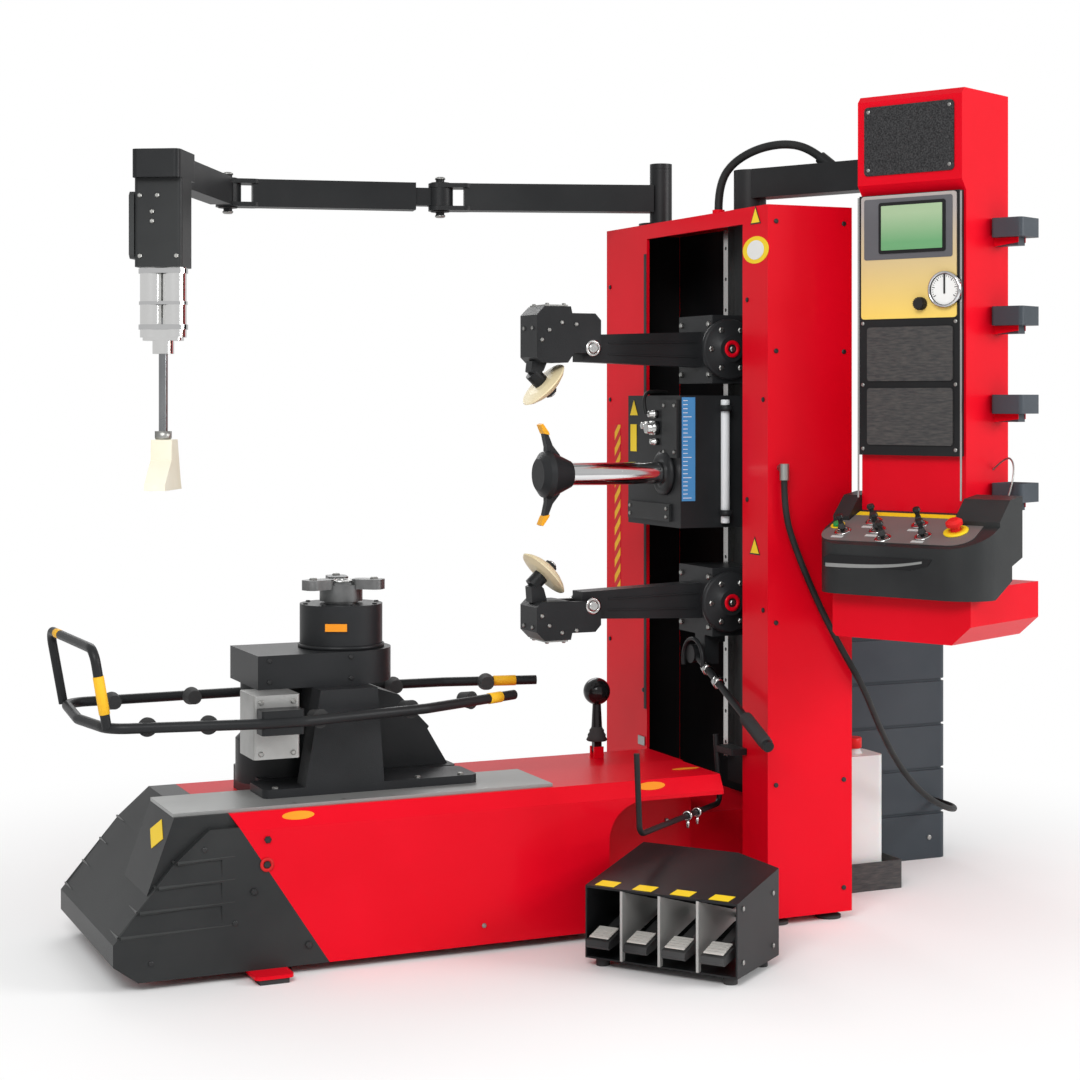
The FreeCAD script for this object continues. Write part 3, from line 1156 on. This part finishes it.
def levers():
    """Ball lever on the deck, guarded lever in the tower's mouth and the cranked latch bar below it."""
    home = frame("ball_lever_x", "ball_lever_y")
    pivot = "deck_height + ball_pivot_height"
    tang = slab("ball_tang", "-11", "-ball_tang_width / 2", pivot, "22", "ball_tang_width", "30")
    eye = rod("ball_eye", "11", "ball_tang_width", WORLD, y="-ball_tang_width / 2", z=pivot, turn=ALONG_Y)
    stem = turned("ball_stem", [("0", pivot + " + 26"), ("13", pivot + " + 26"), ("16", pivot + " + 34"),
                                ("11", "ball_height - ball_radius + 8"),
                                ("0", "ball_height - ball_radius + 8")])
    ball = doc.addObject("Part::Sphere", "ball_knob")
    ball.setExpression("Radius", bound("ball_radius"))
    place(ball, WORLD, z="ball_height")
    hole = rod("ball_hole", "ball_pin_radius + running_fit", "ball_tang_width + 20", WORLD,
               y="-ball_tang_width / 2 - 10", z=pivot, turn=ALONG_Y)
    keep(place(cut("ball_lever", fuse("ball_full", [tang, eye, stem, ball]), [hole]), home), "ball_lever")

    start = frame("guard_lever_x", "guard_lever_y", GUARD_LEVEL)
    aim = Rotation(Vector(0, 0, 1), Vector(-0.09, -0.93, -0.35))
    spot = Placement(start.Base, aim)
    bar = rod("guard_bar", "9", "guard_lever_length - 20")
    bar.Placement = spot.multiply(Placement(point("0", "0", "20"), Rotation()))
    grip = rod("guard_grip", "14", "130")
    grip.Placement = spot.multiply(Placement(point("0", "0", "guard_lever_length - 110"), Rotation()))
    eye = rod("guard_eye", "24", "guard_eye_depth",
              frame("guard_lever_x - guard_eye_depth / 2", "guard_lever_y"),
              z=GUARD_LEVEL, turn=ALONG_X)
    hole = rod("guard_hole", "guard_pin_radius + running_fit", "guard_eye_depth + 60",
               frame("guard_lever_x - guard_eye_depth / 2 - 30", "guard_lever_y"), z=GUARD_LEVEL,
               turn=ALONG_X)
    keep(cut("guard_lever", fuse("guard_full", [bar, grip, eye]), [hole]), "guard_lever")

    base = frame("0", "0").Base
    low = number("latch_height")
    bar = [base + Vector(-404, -447, low + 190), base + Vector(-396, -447, low),
           base + Vector(-36, -179, low),
           base + Vector(-40, -165, low + 172)]
    crank = tube("latch_crank", bar, "latch_bar_radius", 22)
    ear = slab("latch_ear", "tower_x - 44", "line_y + tower_near + near_flange - 24", "latch_height + 130",
               "44", "84",
               "16", "3")
    keep(fuse("latch_bar", [crank, ear]), "latch_bar")


# ---------------------------------------------------------------- back of the machine
def rear_units():
    """Ribbed power cabinet, drip tray and lubricant canister on the floor behind the tower."""
    skin = slab("cabinet_skin", "tower_x + cabinet_x", "line_y + cabinet_y", "0", "cabinet_length",
                "cabinet_depth",
                "cabinet_height", "24")
    count = int(number("cabinet_rib_count"))
    grooves = []
    for index in range(count):
        height = "(%d + 1) * cabinet_height / (cabinet_rib_count + 1)" % index
        ring = cut("cabinet_groove", slab("groove_out", "tower_x + cabinet_x - 5", "line_y + cabinet_y - 5",
                                          height,
                                          "cabinet_length + 10", "cabinet_depth + 10", "9"),
                   [slab("groove_in", "tower_x + cabinet_x + 6", "line_y + cabinet_y + 6", "%s - 5" % height,
                         "cabinet_length - 12", "cabinet_depth - 12", "19", "20")])
        grooves.append(ring)
    room = slab("cabinet_room", "tower_x + cabinet_x + cabinet_wall", "line_y + cabinet_y + cabinet_wall",
                "-10",
                "cabinet_length - 2 * cabinet_wall", "cabinet_depth - 2 * cabinet_wall",
                "cabinet_height - cabinet_wall + 10", "18")
    keep(cut("rear_cabinet", skin, grooves + [room]), "rear_cabinet")

    pan = slab("tray_pan", "tower_x + tray_x", "line_y + tray_y", "0", "tray_length", "tray_width",
               "tray_height", "8")
    room = slab("tray_room", "tower_x + tray_x + tray_wall", "line_y + tray_y + tray_wall", "tray_wall",
                "tray_length - 2 * tray_wall", "tray_width - 2 * tray_wall", "tray_height", "5")
    keep(cut("bottle_tray", pan, [room]), "bottle_tray")

    x = "tower_x + tray_x + 14"
    y = "line_y + tray_y + 21"
    can = slab("bottle_can", x, y, "tray_wall", "bottle_length", "bottle_width", "bottle_height - 40", "22")
    neck = turned("bottle_neck", [("0", "0"), ("26", "0"), ("18", "14"), ("18", "22"), ("22", "22"),
                                  ("22", "40"),
                                  ("0", "40")])
    place(neck, WORLD, "%s + bottle_length / 2" % x, "%s + bottle_width / 2" % y,
          "tray_wall + bottle_height - 40")
    keep(fuse("lubricant_bottle", [can, neck]), "lubricant_bottle")


def report_bend(name, points, radius):
    """Prints a cord's tightest bend, in millimetres and in its own diameters."""
    curves = route_wire(points).Edges
    bends = [curve.curvatureAt(curve.FirstParameter + (curve.LastParameter - curve.FirstParameter) * step / 60)
             for curve in curves for step in range(61)]
    tightest = 1 / max(max(bends), 1e-9)
    print("%s: tightest bend %.0f mm, %.1f diameters" % (name, tightest, tightest / (2 * number(radius))))


def hoses():
    """Air fitting on the tower's near side, its hose to the cabinet, and the console's conduit."""
    wall = frame("fitting_x", "tower_near", "fitting_height")
    stub = rod("fitting_stub", "9", "20", wall, turn=Rotation(Vector(1, 0, 0), 90))
    cup = rod("fitting_cup", "12", "40", wall, y="-20", z="-30")
    keep(fuse("air_regulator", [stub, cup]), "air_regulator")
    base = frame("0", "0").Base
    out = number("tower_near") - 20
    route = [Vector(number("fitting_x"), out, number("fitting_height") - 30),
             Vector(number("fitting_x"), out, 1020),
             Vector(70, out - 4, 920), Vector(128, out - 2, 800), Vector(190, out - 4, 690),
             Vector(262, out + 2, 585),
             Vector(338, -322, 485), Vector(430, -250, 385), Vector(525, -188, 300), Vector(618, -138, 235),
             Vector(705, -96, 194), Vector(770, -46, 176), Vector(808, 18, 170), Vector(826, 84, 166),
             Vector(826, number("cabinet_y"), 166)]
    route = [base + spot for spot in route]
    report_bend("supply_hose", route, "hose_radius")
    report_bend("console_conduit", conduit_route(), "conduit_radius")
    keep(tube("supply_hose", route, "hose_radius"), "supply_hose")
    keep(tube("console_conduit", conduit_route(), "conduit_radius"), "console_conduit")


base_frame()
nose_cover()
slide_plate()
levelling_feet()
tower_frame()
guide_column()
bead_unit("upper", "upper_arm_height", 1, "upper_head_drop", "upper_head_height", "upper_disc_drop", [])
bead_unit("lower", "lower_arm_height", -1, "lower_head_drop", "lower_head_height", "lower_disc_drop",
          guard_lug())
mounting_tool()
presser_arm()
carriage()
wheel_lift()
swivel = console()
desk_controls(swivel)
tool_holders(swivel)
pedals()
levers()
rear_units()
hoses()
doc.recompute()

for thing in doc.Objects:
    if "Invalid" in thing.State or "Error" in thing.State:
        raise RuntimeError("%s failed: %s" % (thing.Name, thing.State))
os.makedirs("parts", exist_ok=True)
for node in nodes:
    if node.Shape.isNull() or not node.Shape.isValid() or not node.Shape.Solids:
        raise RuntimeError("%s has no valid solid" % node.Label)
    node.Shape.exportStep("parts/%s.step" % node.Label)
print(len(nodes), "sub-parts")
